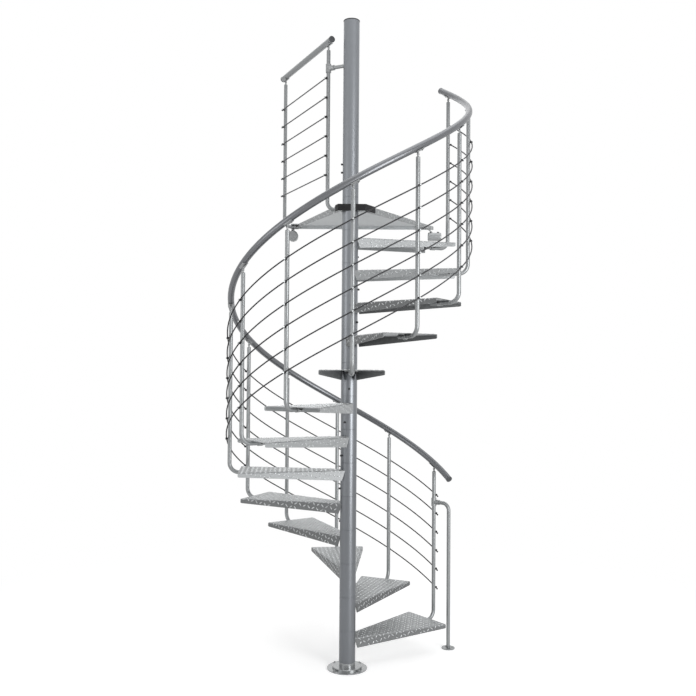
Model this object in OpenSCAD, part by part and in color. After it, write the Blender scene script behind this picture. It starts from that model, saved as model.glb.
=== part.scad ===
// Spiral stair in galvanised steel: sleeves with folded plate treads threaded on a centre
// pole, round balusters outside the treads, a tube handrail and a corner landing.
// Millimetres. The origin is on the floor, at the centre of the base plate. +Z is up.
// The stair climbs counter-clockwise as seen from above, and the landing lies towards +Y.

/* [Stair] */
// Rise from one tread to the next
rise = 208; // [175:1:250]
// Turn from one tread to the next, in degrees
step_turn = 29.14; // [26:0.01:31]
// Direction of the first tread, in degrees from +X
first_turn = 38.1; // [20:0.1:60]
// Height of the first tread above the floor
first_top = 192; // [160:1:240]

/* [Base] */
// Diameter of the base plate
base_d = 250; // [240:1:340]
// Thickness of the base plate
base_t = 5; // [4:0.5:15]
// Diameter of the raised disc on the base plate
disc_d = 184; // [140:1:190]
// Height of the raised disc
disc_h = 12; // [6:1:25]
// Height of the socket's collar above the disc
collar_h = 24; // [12:1:40]
// Distance of the anchor holes' centres from the plate's edge
anchor_edge = 16; // [12:1:20]
// Diameter of the anchor holes
anchor_hole_d = 14; // [9:0.5:16]

/* [Column] */
// Outside diameter of the sleeves that make the column
column_d = 101.6; // [80:0.1:125]
// Wall of the sleeves
sleeve_wall = 6; // [4:0.5:9]
// Wall of the pole inside the sleeves
pole_wall = 4; // [3:0.5:8]
// Radial play between the pole and the sleeves
sleeve_play = 0.4; // [0.2:0.1:1]
// How far each sleeve stands above its own tread
sleeve_over = 46; // [20:1:80]
// Height of the column above the landing
column_over = 1170; // [900:1:1400]

/* [Treads] */
// Distance from the column's axis to a tread's outer edge
tread_reach = 678; // [540:1:820]
// Width of a tread at its outer edge
tread_outer_w = 365; // [290:1:440]
// Width that the tread's sides would have at the column's axis
tread_root_w = 77; // [60:1:96]
// Thickness of the folded plate
plate_t = 4; // [3:0.5:6]
// Inside radius of the folds
fold_r = 3; // [1:0.5:6]
// Depth of a tread's side flange at the column
flange_deep = 64; // [50:1:80]
// Depth of a tread's side flange at the outer edge
flange_shallow = 26; // [20:1:40]
// Radius of the flange's lower outer corner
flange_round = 16; // [8:1:19]
// How far the flange's inner end slopes away from the column
flange_rake = 20; // [0:1:40]

/* [Posts] */
// Outside diameter of the balusters and posts
post_d = 25; // [20:0.1:32]
// Wall of the balusters and posts
post_wall = 2; // [1.5:0.5:4]
// Distance of the balusters' axis outside the treads' edge
post_out = 62.5; // [62:0.5:90]
// Bend radius of a baluster's foot
post_bend = 60; // [45:1:62]
// Length of the foot under the tread, measured from the tread's edge
foot_len = 118; // [95:1:160]
// Height of a baluster above its tread
post_h = 974; // [860:1:1100]
// Distance of a foot clamp's centre from the tread's edge
clamp_in = 58; // [40:1:70]
// Width of a foot clamp along the foot
clamp_w = 30; // [20:1:40]
// Length of a foot clamp across the foot
clamp_span = 74; // [66:1:90]
// Thickness of the foot clamps and rail saddles
strap_t = 4; // [2:0.5:6]

/* [Rails] */
// Outside diameter of the handrails
rail_d = 40; // [32:0.1:50]
// Height of the handrail's axis above the top of each baluster
rail_over = 59; // [52:1:80]
// How far the handrail runs below the first baluster, in degrees
rail_lead = 12.6; // [8:0.1:20]
// How far the handrail runs past the last baluster, in degrees
rail_tail = 6.3; // [4:0.1:12]
// Thickness of the caps on the handrails' ends
cap_t = 4; // [2:0.5:8]
// Diameter of the infill rods
rod_d = 8; // [6:0.1:10]
// Distance from one infill rod to the next, upwards
rod_spacing = 125; // [100:1:130]
// Height of the lowest rod above the treads
rod_low = 192; // [150:1:230]
// Free gap between a baluster and the rods
rod_gap = 3; // [1:0.5:6]
// How far a rod runs past the last baluster at each end
rod_past = 14; // [10:1:30]

/* [Newel] */
// Distance of the newel post outside the balusters' circle
newel_out = 36.5; // [20:0.5:60]
// How far the newel post stands before the first baluster, in degrees
newel_lead = 8.4; // [8:0.1:14]
// Height of the newel post's arm above the floor
newel_h = 962; // [940:1:985]
// Bend radius at the top of the newel post
newel_bend = 48; // [40:1:55]
// Diameter of the newel post's floor flange
newel_flange_d = 88; // [76:1:110]
// Thickness of the newel post's floor flange
newel_flange_t = 6; // [4:0.5:12]
// Diameter of the screw holes in that flange
newel_hole_d = 7; // [5:0.5:9]

/* [Landing] */
// Distance from the column's axis to the landing's back edge
landing_back = 770; // [650:1:900]
// Depth of the landing's flanges at the column
landing_deep = 46; // [40:1:60]
// Depth of the landing's flanges at the back edge
landing_shallow = 24; // [20:1:36]
// Height of the landing guard's posts above the landing
guard_h = 1008; // [900:1:1100]
// Height of the lowest guard rod above the landing
guard_rod_low = 203; // [170:1:240]
// Height of the guard's stay to the column, above the landing
stay_h = 894; // [880:1:900]
// Bend radius of a guard post's foot
guard_bend = 48; // [40:1:50]
// Distance of the wall fixings' axes below the landing's plate
fixing_drop = 75; // [70:1:95]
// Radius of the fixing on the back wall
back_fixing_r = 38; // [30:1:40]
// Radius of the fixing on the side wall
side_fixing_r = 30; // [24:1:40]
// Length of the fixing on the side wall
side_fixing_len = 96; // [80:1:120]

/* [Hidden] */
treads = 13;
rods = 6;
anchors = 4;
newel_screws = 3;
round_fn = 96;
tube_fn = 48;
edge = 1;
fit = 0.1;
rod_fit = 0.4;

column_r = column_d / 2;
bore_r = column_r - sleeve_wall;
pole_r = bore_r - sleeve_play;
seat_z = base_t + disc_h + collar_h;
post_r = post_d / 2;
rail_r = rail_d / 2;
rod_r = rod_d / 2;
fold_out = fold_r + plate_t;
post_circle = tread_reach + post_out;
foot_axis = plate_t + post_r;
rod_out = post_r + rod_gap + rod_r;
tee_wall = 5;
tee_h = 54;
tee_boss = 30;
clip_r = rod_r + 2.5;
clip_cap = 2.5;

landing_top = first_top + rise * treads;
column_top = landing_top + column_over;
climb = rise / step_turn;
rail_slope = atan(rise / (post_circle * step_turn * PI / 180));
rod_slope = atan(rise / ((post_circle + rod_out) * step_turn * PI / 180));
tread_taper = atan((tread_outer_w - tread_root_w) / 2 / tread_reach);
last_turn = first_turn + step_turn * (treads - 1);
rod_past_turn = rod_past / (post_circle + rod_out) * 180 / PI;

// The landing's outline: left edge, back edge and right edge meet the front at the column
landing_front = -10;
left_front = [-75, landing_front];
left_slope = -0.42;
right_front = [95, landing_front];
right_slope = 0.65;
left_back = [left_front[0] + left_slope * (landing_back - landing_front), landing_back];
right_back = [right_front[0] + right_slope * (landing_back - landing_front), landing_back];

// The guard's two posts stand outside the landing's left edge, the near one this far from
// the column
guard_clear = 96.2;
guard_near = [-column_r - guard_clear, 68];
guard_far = [-472, landing_back - 45];
guard_run = guard_far - guard_near;
guard_len = norm(guard_run);
guard_turn = atan2(guard_run[1], guard_run[0]);
guard_past = 48;
guard_foot = 118;
guard_clamp = guard_foot - clamp_w;
lug_w = clamp_span + 6;

newel_turn = first_turn - newel_lead;
newel_at = (post_circle + newel_out) * [cos(newel_turn), sin(newel_turn)];
first_post_at = post_circle * [cos(first_turn), sin(first_turn)];
newel_run = first_post_at - newel_at;
newel_run_turn = atan2(newel_run[1], newel_run[0]);

steel = [0.66, 0.68, 0.69];
plate_steel = [0.74, 0.75, 0.76];
rail_steel = [0.48, 0.49, 0.51];
rod_steel = [0.22, 0.22, 0.23];
black = [0.08, 0.08, 0.08];

function two(i) = i < 10 ? str("0", i) : str(i);
function turn(i) = first_turn + step_turn * (i - 1);
function top(i) = first_top + rise * (i - 1);

// Shapes used by several pieces

module ring(r, wall, h) {
    difference() {
        cylinder(r = r, h = h, $fn = tube_fn);
        translate([0, 0, -1]) cylinder(r = r - wall, h = h + 2, $fn = tube_fn);
    }
}

// A tube with one quarter bend. Its two axes meet at the origin: the leg goes up to z = leg,
// and the run goes out to x = run.
module elbow_tube(leg, bend, run) {
    translate([0, 0, bend]) ring(post_r, post_wall, leg - bend);
    translate([bend, 0, 0]) rotate([0, 90, 0]) ring(post_r, post_wall, run - bend);
    translate([bend, 0, bend]) rotate([90, 0, 0]) rotate([0, 0, 180])
        rotate_extrude(angle = 90, $fn = round_fn) translate([bend, 0]) difference() {
            circle(r = post_r, $fn = tube_fn);
            circle(r = post_r - post_wall, $fn = tube_fn);
        }
}

// A sleeve of the column, with its outer edges broken
module sleeve(low, high) {
    rotate_extrude($fn = round_fn)
        polygon([[bore_r, low], [column_r - edge, low], [column_r, low + edge],
                 [column_r, high - edge], [column_r - edge, high], [bore_r, high]]);
}

// A folded plate that runs along +X, with the flange's outer face at y = 0 and its top at
// z = 0. The flange hangs down: deep at x = 0 and shallow at x = len. The plate goes on to
// y = width.
module folded_plate(len, width) {
    low_x = len - flange_round;
    start = column_r / 2;
    fall = (flange_deep - flange_shallow) / (len - start - flange_rake);
    low_z = -flange_shallow - fall * flange_round;
    intersection() {
        rotate([90, 0, 90]) linear_extrude(height = len) fold_profile(flange_deep + 1, width);
        translate([0, width + 1, 0]) rotate([90, 0, 0]) linear_extrude(height = width + 2)
            polygon(concat(
                [[0, 1], [0, -fold_out], [start, -fold_out], [start + flange_rake, -flange_deep],
                 [low_x, low_z]],
                [for (a = [15:15:75]) [low_x + flange_round * sin(a),
                                       -flange_shallow - flange_round * (cos(a) - 1)]],
                [[len, flange_round - flange_shallow], [len, 1]]));
    }
}

module fold_profile(depth, width) {
    arc = [for (a = [180:-15:90]) [cos(a), sin(a)]];
    polygon(concat([[0, -depth]],
        [for (p = arc) fold_out * [p[0] + 1, p[1] - 1]],
        [[width, 0], [width, -plate_t]],
        [for (k = [len(arc) - 1:-1:0]) [fold_out, -fold_out] + fold_r * arc[k]],
        [[plate_t, -depth]]));
}

// A round bar along the stair's helix, from one turn to another, in straight lengths that
// touch the helix at every post. It passes height z0 at the first post. The radius of the
// helix is path_r, and per_tread is the number of straight lengths to a tread. The corners
// between lengths lie a little outside the helix, and its two ends lie on it.
function helix_point(path_r, z, a, slope, r, phi) =
    let (out = path_r + r * cos(phi), rise_by = r * sin(phi))
    [out * cos(a) + rise_by * sin(slope) * sin(a),
     out * sin(a) - rise_by * sin(slope) * cos(a),
     z + rise_by * cos(slope)];

module helix_bar(path_r, z0, from, to, slope, r, sides, per_tread) {
    step = step_turn / per_tread;
    corner_r = path_r / cos(step / 2);
    start = first_turn + step * (floor((from - first_turn) / step - 0.5) + 1.5);
    turns = concat([from], [for (a = [start:step:to - step / 10]) a], [to]);
    rings = len(turns) - 1;
    points = [for (a = turns) for (s = [0:sides - 1])
        helix_point(a == from || a == to ? path_r : corner_r,
                    z0 + climb * (a - first_turn), a, slope, r, 360 * s / sides)];
    walls = [for (k = [0:rings - 1]) for (s = [0:sides - 1])
        let (a = k * sides + s, b = k * sides + (s + 1) % sides)
        each [[a, b, b + sides], [a, b + sides, a + sides]]];
    polyhedron(points, concat(walls,
        [[for (s = [sides - 1:-1:0]) s]],
        [[for (s = [0:sides - 1]) rings * sides + s]]), convexity = 10);
}

// Base

module base_plate() {
    color(steel) difference() {
        cylinder(r = base_d / 2, h = base_t, $fn = round_fn);
        for (a = [0:anchors - 1]) rotate([0, 0, 45 + 360 * a / anchors])
            translate([base_d / 2 - anchor_edge, 0, -1])
                cylinder(r = anchor_hole_d / 2, h = base_t + 2, $fn = tube_fn);
    }
}

module base_socket() {
    disc_r = disc_d / 2;
    disc_top = base_t + disc_h;
    color(steel) rotate_extrude($fn = round_fn)
        polygon([[bore_r, base_t], [disc_r, base_t], [disc_r, disc_top - 3 * edge],
                 [disc_r - 3 * edge, disc_top], [column_r - edge, disc_top],
                 [column_r - edge, seat_z], [bore_r, seat_z]]);
}

module centre_pole() {
    color(steel) translate([0, 0, base_t]) difference() {
        cylinder(r = pole_r, h = column_top - base_t, $fn = round_fn);
        translate([0, 0, -1])
            cylinder(r = pole_r - pole_wall, h = column_top - base_t + 2, $fn = round_fn);
    }
}

module top_sleeve() {
    color(steel) sleeve(landing_top + sleeve_over, column_top);
}

module column_cap() {
    rim = column_r + 1.5;
    rim_h = 3;
    dome_h = 8;
    color(black) translate([0, 0, column_top]) rotate_extrude($fn = round_fn)
        polygon(concat([[0, 0], [rim, 0]],
            [for (a = [0:15:90]) [rim * cos(a), rim_h + dome_h * sin(a)]]));
}

// Treads: a folded plate welded to its own sleeve of the column

module tread(i) {
    side_len = tread_reach / cos(tread_taper);
    low = i == 1 ? seat_z : top(i - 1) + sleeve_over;
    color(plate_steel) rotate([0, 0, turn(i)]) difference() {
        union() {
            sleeve(low, top(i) + sleeve_over);
            for (side = [0, 1]) mirror([0, side, 0]) translate([0, 0, top(i)]) intersection() {
                translate([0, -tread_root_w / 2, 0]) rotate([0, 0, -tread_taper])
                    folded_plate(side_len + fold_out, tread_outer_w);
                translate([0, -tread_outer_w, -flange_deep * 2])
                    cube([tread_reach, tread_outer_w, flange_deep * 3]);
            }
        }
        cylinder(r = bore_r, h = column_top, $fn = round_fn);
    }
}

// Landing: a plate with welded edge flanges and its own sleeve, and two brackets to the walls

module landing() {
    color(plate_steel) difference() {
        union() {
            sleeve(top(treads) + sleeve_over, landing_top + sleeve_over);
            translate([0, 0, landing_top]) landing_plate();
            translate([guard_far[0] + guard_bend, guard_far[1] - lug_w / 2, landing_top - plate_t])
                cube([guard_foot - guard_bend, lug_w, plate_t]);
        }
        cylinder(r = bore_r, h = column_top, $fn = round_fn);
        flange_notch(guard_near, post_d + 6);
        flange_notch(guard_far, lug_w);
    }
}

// The plate and its flanges, whose lower edges slope up from the front to the back
module landing_plate() {
    slope_up = (landing_deep - landing_shallow) / (landing_back - landing_front);
    half_w = landing_back * 2;
    difference() {
        translate([0, 0, -landing_deep]) linear_extrude(height = landing_deep)
            landing_outline(0);
        translate([0, 0, -landing_deep - 1]) linear_extrude(height = landing_deep + 1 - plate_t)
            landing_outline(plate_t);
        translate([-half_w, 0, 0]) rotate([90, 0, 90]) linear_extrude(height = 2 * half_w)
            polygon([[landing_front, -landing_deep], [landing_back + 1, slope_up - landing_shallow],
                     [landing_back + 1, -landing_deep - 1], [landing_front, -landing_deep - 1]]);
    }
}

// The landing's outline, set in from its edges
module landing_outline(inset) {
    in_left = inset * sqrt(1 + left_slope * left_slope);
    in_right = inset * sqrt(1 + right_slope * right_slope);
    polygon([[left_front[0] + in_left + left_slope * inset, landing_front + inset],
             [right_front[0] - in_right + right_slope * inset, landing_front + inset],
             [right_back[0] - in_right - right_slope * inset, landing_back - inset],
             [left_back[0] + in_left - left_slope * inset, landing_back - inset]]);
}

// The slot in the landing's left flange that a guard post's foot passes through, with
// room in the plate's edge for the foot's bend
module flange_notch(post, w) {
    translate([post[0], post[1] - w / 2, landing_top - landing_deep * 2]) {
        cube([guard_foot, w, landing_deep * 2 - plate_t]);
        cube([guard_bend, w, landing_deep * 2 + edge]);
    }
}

// The back wall's fixing hangs from a neck, and the side wall's from a curved arm
module landing_brackets() {
    fixing_in = 30;
    back_len = 60;
    back_x = left_back[0] - 10;
    side_x = right_back[0] + 4;
    color(steel) translate([0, landing_back - fixing_in, landing_top - plate_t]) {
        bracket_neck(back_x);
        translate([back_x, -back_len / 4, -fixing_drop]) rotate([-90, 0, 0])
            wall_fixing(back_fixing_r, back_len);
        bracket_arm(side_x);
        translate([side_x + side_fixing_len / 2, 0, -fixing_drop]) rotate([0, -90, 0])
            wall_fixing(side_fixing_r, side_fixing_len);
    }
}

// A flat neck that hangs from the landing at x, behind the guard post's foot
module bracket_neck(x) {
    neck_w = 22;
    neck_t = 6;
    neck_y = 4;
    translate([x - neck_w / 2, neck_y, -fixing_drop]) cube([neck_w, neck_t, fixing_drop]);
}

// A pad under the landing, and an arm that curves down from it to the fixing at end_x
module bracket_arm(end_x) {
    arm_t = 6;
    arm_w = 22;
    arm_sweep = 72;
    arm_r = fixing_drop / (1 - cos(arm_sweep));
    pad_w = 36;
    start_x = end_x - arm_r * sin(arm_sweep);
    translate([start_x - pad_w + 1, -pad_w / 2, -arm_t]) cube([pad_w, pad_w, arm_t]);
    translate([start_x, 0, -arm_r]) rotate([90, 0, 0]) rotate([0, 0, 90 - arm_sweep])
        rotate_extrude(angle = arm_sweep, $fn = round_fn)
            translate([arm_r - arm_t, -arm_w / 2]) square([arm_t, arm_w]);
}

// A round fixing with rounded rims, standing on z = 0
module wall_fixing(r, len) {
    rim = 8;
    rotate_extrude($fn = round_fn)
        polygon(concat([[0, 0]],
            [for (a = [-90:22.5:0]) [r - rim + rim * cos(a), rim + rim * sin(a)]],
            [for (a = [0:22.5:90]) [r - rim + rim * cos(a), len - rim + rim * sin(a)]],
            [[0, len]]));
}

// Balusters, their clamps and the handrail

module baluster(i) {
    color(steel) rotate([0, 0, turn(i)]) translate([post_circle, 0, top(i) - foot_axis])
        rotate([0, 0, 180]) elbow_tube(post_h + foot_axis, post_bend, post_out + foot_len);
}

// A saddle strap round a foot, with its two pads against the plate above, which is at z = 0
module foot_clamp() {
    strap_r = post_r + fit + strap_t;
    translate([-clamp_w / 2, 0, 0]) rotate([90, 0, 90]) linear_extrude(height = clamp_w)
        difference() {
            union() {
                translate([0, -post_r]) circle(r = strap_r, $fn = tube_fn);
                translate([-strap_r, -post_r]) square([2 * strap_r, post_r]);
                translate([-clamp_span / 2, -strap_t]) square([clamp_span, strap_t]);
            }
            translate([0, -post_r]) circle(r = post_r + fit, $fn = tube_fn);
            translate([-post_r - fit, -post_r]) square([post_d + 2 * fit, post_d]);
            translate([-clamp_span, 0]) square([2 * clamp_span, post_d]);
        }
}

module foot_clamps() {
    color(steel) {
        for (i = [1:treads]) rotate([0, 0, turn(i)])
            translate([tread_reach - clamp_in, 0, top(i) - plate_t]) foot_clamp();
        for (post = [guard_near, guard_far])
            translate([post[0] + guard_clamp, post[1], landing_top - plate_t])
                foot_clamp();
    }
}

// The swivel and saddle between a post's top, at z = 0, and a rail above it that climbs
// towards +Y
module rail_connector(slope) {
    saddle_r = rail_r + fit * 5;
    saddle_len = 54;
    saddle_half = rail_r * 0.75;
    plug_h = 6;
    stem_r = 5;
    ball_r = 8;
    stem_top = rail_over - (saddle_r + strap_t / 2) / cos(slope);
    rotate_extrude($fn = tube_fn)
        polygon([[0, 0], [post_r, 0], [post_r, plug_h / 2], [post_r - 4, plug_h],
                 [stem_r, plug_h], [stem_r, stem_top], [0, stem_top]]);
    translate([0, 0, (plug_h + stem_top) / 2]) sphere(r = ball_r, $fn = tube_fn);
    translate([0, 0, rail_over]) rotate([slope - 90, 0, 0]) translate([0, 0, -saddle_len / 2])
        difference() {
            cylinder(r = saddle_r + strap_t, h = saddle_len, $fn = round_fn);
            translate([0, 0, -1]) cylinder(r = saddle_r, h = saddle_len + 2, $fn = round_fn);
            translate([-rail_d, saddle_half - 2 * rail_d, -1])
                cube([2 * rail_d, 2 * rail_d, saddle_len + 2]);
        }
}

module rail_connectors() {
    color(steel) {
        for (i = [1:treads]) rotate([0, 0, turn(i)])
            translate([post_circle, 0, top(i) + post_h]) rail_connector(rail_slope);
        for (post = [guard_near, guard_far])
            translate([post[0], post[1], landing_top + guard_h])
                rotate([0, 0, guard_turn - 90]) rail_connector(0);
    }
}

module handrail() {
    color(rail_steel) helix_bar(post_circle, first_top + post_h + rail_over,
        first_turn - rail_lead, last_turn + rail_tail, rail_slope, rail_r, 20, 6);
}

// A cap on the end of a rail, standing on the rail's end face at z = 0
module rail_cap() {
    rim_r = rail_r + 0.8;
    rotate_extrude($fn = tube_fn)
        polygon([[0, 0], [rim_r, 0], [rim_r, cap_t - edge], [rim_r - edge, cap_t], [0, cap_t]]);
}

module handrail_caps() {
    rail_z = first_top + post_h + rail_over;
    color(rail_steel) {
        rotate([0, 0, first_turn - rail_lead])
            translate([post_circle, 0, rail_z - climb * rail_lead])
                rotate([90 + rail_slope, 0, 0]) rail_cap();
        rotate([0, 0, last_turn + rail_tail])
            translate([post_circle, 0, rail_z + rise * (treads - 1) + climb * rail_tail])
                rotate([rail_slope - 90, 0, 0]) rail_cap();
        at_guard(-guard_past, 0, guard_h + rail_over) rotate([90, 0, 0]) rail_cap();
        at_guard(guard_len + guard_past, 0, guard_h + rail_over) rotate([-90, 0, 0]) rail_cap();
    }
}

// Infill rods

module infill_rods() {
    color(rod_steel) for (k = [0:rods - 1])
        helix_bar(post_circle + rod_out, first_top + rod_low + rod_spacing * k,
                  first_turn - rod_past_turn, last_turn + rod_past_turn, rod_slope, rod_r, 6, 4);
}

// A clip on the outside of a post whose axis is x = 0, round a rod that climbs towards +Y
module rod_clip(slope) {
    difference() {
        rotate([0, 90, 0]) cylinder(r = clip_r, h = rod_out + rod_r + clip_cap, $fn = tube_fn);
        translate([0, 0, -clip_r * 2]) cylinder(r = post_r, h = clip_r * 4, $fn = tube_fn);
        translate([rod_out, 0, 0]) rotate([slope - 90, 0, 0]) translate([0, 0, -post_d])
            cylinder(r = rod_r + rod_fit, h = 2 * post_d, $fn = tube_fn);
    }
}

module rod_clips() {
    color(rod_steel) {
        for (i = [1:treads], k = [0:rods - 1]) rotate([0, 0, turn(i)])
            translate([post_circle, 0, top(i) + rod_low + rod_spacing * k]) rod_clip(rod_slope);
        for (s = [0, guard_len], k = [0:rods - 1])
            at_guard(s, 0, guard_rod_low + rod_spacing * k) mirror([1, 0, 0]) rod_clip(0);
    }
}

// A cap that stands on a rod's end face at z = 0
module rod_cap() {
    cap_r = rod_r + 1.5;
    cap_h = 6;
    rotate_extrude($fn = tube_fn)
        polygon([[0, 0], [cap_r, 0], [cap_r, cap_h - 2 * edge], [cap_r - 2 * edge, cap_h], [0, cap_h]]);
}

module rod_caps() {
    path_r = post_circle + rod_out;
    color(black) for (k = [0:rods - 1]) {
        z = rod_low + rod_spacing * k;
        rotate([0, 0, first_turn - rod_past_turn])
            translate([path_r, 0, first_top + z - climb * rod_past_turn])
                rotate([90 + rod_slope, 0, 0]) rod_cap();
        rotate([0, 0, last_turn + rod_past_turn])
            translate([path_r, 0, top(treads) + z + climb * rod_past_turn])
                rotate([rod_slope - 90, 0, 0]) rod_cap();
        for (end = [0, 1])
            at_guard(end == 0 ? -rod_past : guard_len + rod_past, -rod_out,
                     guard_rod_low + rod_spacing * k)
                rotate([end == 0 ? 90 : -90, 0, 0]) rod_cap();
    }
}

// Newel post, joined to the first baluster

module newel_post() {
    color(steel) {
        translate([newel_at[0], newel_at[1], newel_h]) mirror([0, 0, 1])
            rotate([0, 0, newel_run_turn])
                elbow_tube(newel_h - newel_flange_t, newel_bend, norm(newel_run) - post_r - 2);
        translate([newel_at[0], newel_at[1], 0]) difference() {
            cylinder(r = newel_flange_d / 2, h = newel_flange_t, $fn = round_fn);
            for (a = [0:newel_screws - 1]) rotate([0, 0, 360 * a / newel_screws])
                translate([(newel_flange_d + post_d) / 4, 0, -1])
                    cylinder(r = newel_hole_d / 2, h = newel_flange_t + 2, $fn = tube_fn);
        }
    }
}

// A tee round a post: the post's axis is Z, and the boss points to +X
module tee(boss) {
    tee_r = post_r + tee_wall;
    difference() {
        union() {
            translate([0, 0, -tee_h / 2]) cylinder(r = tee_r, h = tee_h, $fn = tube_fn);
            rotate([0, 90, 0]) cylinder(r = tee_r - 1, h = boss, $fn = tube_fn);
        }
        translate([0, 0, -tee_h]) cylinder(r = post_r + fit, h = 2 * tee_h, $fn = tube_fn);
    }
}

module newel_tee() {
    color(steel) translate([first_post_at[0], first_post_at[1], newel_h])
        rotate([0, 0, newel_run_turn + 180]) difference() {
            tee(tee_boss + post_r);
            translate([post_r + 1, 0, 0]) rotate([0, 90, 0])
                cylinder(r = post_r + fit, h = 2 * tee_boss + post_d, $fn = tube_fn);
        }
}

// Landing guard

// Places its children on the guard's line: s along it from the near post, side to the right
// of it, and h above the landing
module at_guard(s, side, h) {
    translate([guard_near[0], guard_near[1], landing_top + h]) rotate([0, 0, guard_turn - 90])
        translate([side, s, 0]) children();
}

module guard_posts() {
    color(steel) for (post = [guard_near, guard_far])
        translate([post[0], post[1], landing_top - foot_axis])
            elbow_tube(guard_h + foot_axis, guard_bend, guard_foot);
}

module guard_rail() {
    color(rail_steel) at_guard(-guard_past, 0, guard_h + rail_over) rotate([-90, 0, 0])
        ring(rail_r, post_wall, guard_len + 2 * guard_past);
}

module guard_rods() {
    color(rod_steel) for (k = [0:rods - 1])
        at_guard(-rod_past, -rod_out, guard_rod_low + rod_spacing * k) rotate([-90, 0, 0])
            cylinder(r = rod_r, h = guard_len + 2 * rod_past, $fn = tube_fn);
}

// The stay from the near guard post to the column
module guard_stay() {
    color(steel) difference() {
        translate([guard_near[0], guard_near[1], landing_top + stay_h])
            rotate([0, 0, atan2(-guard_near[1], -guard_near[0])]) {
                tee(tee_boss + post_r);
                translate([post_r + tee_wall, 0, 0]) rotate([0, 90, 0])
                    cylinder(r = post_r - 1, h = norm(guard_near) - post_r - tee_wall,
                             $fn = tube_fn);
            }
        cylinder(r = column_r, h = column_top * 2, $fn = round_fn);
    }
}

base_plate();
base_socket();
centre_pole();
for (i = [1:treads]) tread(i);
landing();
landing_brackets();
top_sleeve();
column_cap();
for (i = [1:treads]) baluster(i);
foot_clamps();
rail_connectors();
handrail();
handrail_caps();
infill_rods();
rod_clips();
rod_caps();
newel_post();
newel_tee();
guard_posts();
guard_rail();
guard_rods();
guard_stay();
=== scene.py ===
"""Looks of a galvanised spiral stair: plate tears, rails, welds, fixings, finishes, studio.

Lengths are in metres and angles in radians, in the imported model's own frame.
"""

import math

import bmesh
import bpy
from bpy.props import FloatProperty, FloatVectorProperty, IntProperty, PointerProperty
from mathutils import Matrix, Vector


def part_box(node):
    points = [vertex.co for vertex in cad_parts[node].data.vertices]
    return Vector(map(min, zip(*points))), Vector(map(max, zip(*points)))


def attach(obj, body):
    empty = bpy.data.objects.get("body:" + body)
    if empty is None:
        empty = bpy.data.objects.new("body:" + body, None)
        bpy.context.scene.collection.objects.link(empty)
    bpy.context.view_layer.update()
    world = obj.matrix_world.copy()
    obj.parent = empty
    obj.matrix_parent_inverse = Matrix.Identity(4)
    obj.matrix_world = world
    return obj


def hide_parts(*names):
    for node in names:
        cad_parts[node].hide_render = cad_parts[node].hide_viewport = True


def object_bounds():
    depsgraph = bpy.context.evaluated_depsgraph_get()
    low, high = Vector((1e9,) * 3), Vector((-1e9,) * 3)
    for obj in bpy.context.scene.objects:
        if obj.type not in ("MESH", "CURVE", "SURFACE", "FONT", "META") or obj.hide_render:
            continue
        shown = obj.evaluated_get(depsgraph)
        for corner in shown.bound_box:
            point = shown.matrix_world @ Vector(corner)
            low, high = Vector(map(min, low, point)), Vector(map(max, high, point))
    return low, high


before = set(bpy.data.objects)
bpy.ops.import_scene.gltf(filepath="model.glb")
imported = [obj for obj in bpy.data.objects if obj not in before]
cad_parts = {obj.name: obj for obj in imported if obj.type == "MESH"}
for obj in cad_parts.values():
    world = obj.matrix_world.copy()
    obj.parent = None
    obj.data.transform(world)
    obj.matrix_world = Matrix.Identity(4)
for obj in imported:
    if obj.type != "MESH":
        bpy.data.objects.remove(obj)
CAD_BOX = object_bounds()

bl_info = {
    "name": "Spiral Stair Looks",
    "version": (1, 0, 0),
    "blender": (4, 5, 0),
    "location": "View3D > Sidebar > Stair",
    "description": "Dresses a galvanised spiral stair with tears, rails, fixings and finishes",
    "category": "Object",
}

BODY = "root"
TREAD_REACH = 0.678
# Sideways run of the landing's left and right edges, for each metre back from the column
LANDING_SLOPES = (0.42, 0.65)


def top_of(node):
    """Height of a CAD node's highest point."""
    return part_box(node)[1].z


# Sizes and colours that a user can change ----------------------------------------------


def a_length(name, description, default, least=0.0):
    return FloatProperty(
        name=name, description=description, default=default, min=least, unit="LENGTH")


def an_angle(name, description, degrees):
    return FloatProperty(
        name=name, description=description, default=math.radians(degrees), unit="ROTATION")


def a_power(name, description, watts):
    return FloatProperty(
        name=name, description=description, default=watts, min=0.0, unit="POWER")


def a_count(name, description, default):
    return IntProperty(name=name, description=description, default=default, min=1)


def a_colour(name, description, *default):
    return FloatVectorProperty(
        name=name, description=description, default=default, subtype="COLOR", size=3,
        min=0.0, max=1.0)


class StairLayout(bpy.types.PropertyGroup):
    """Where the stair's treads and posts stand."""

    rise: a_length(
        "Rise", "Height from one tread to the next", top_of("tread_02") - top_of("tread_01"), 0.1)
    turn: an_angle("Turn", "Angle from one tread to the next", 29.14)
    first_turn: an_angle("First turn", "Direction of the first tread", 38.1)
    treads: a_count("Treads", "Number of treads below the landing", 13)
    sleeve_over: a_length("Sleeve over", "Height of each column sleeve above its tread", 0.046)
    column_r: a_length(
        "Column radius", "Radius of the column's sleeves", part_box("top_sleeve")[1].x, 0.01)
    post_circle: a_length(
        "Post circle", "Distance of the balusters from the column's axis", 0.7405, 0.1)
    plate_t: a_length("Plate", "Thickness of the tread and landing plate", 0.004, 0.001)


class TearPattern(bpy.types.PropertyGroup):
    """The raised tears on the tread plate."""

    pitch: a_length("Pitch", "Distance from one tear to the next", 0.0285, 0.01)
    length: a_length("Length", "Length of a tear", 0.027, 0.005)
    width: a_length("Width", "Width of a tear", 0.0095, 0.002)
    height: a_length("Height", "Height of a tear above the plate", 0.002, 0.0005)
    margin: a_length("Margin", "Least distance of a tear's centre from a cut edge", 0.007)


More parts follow.
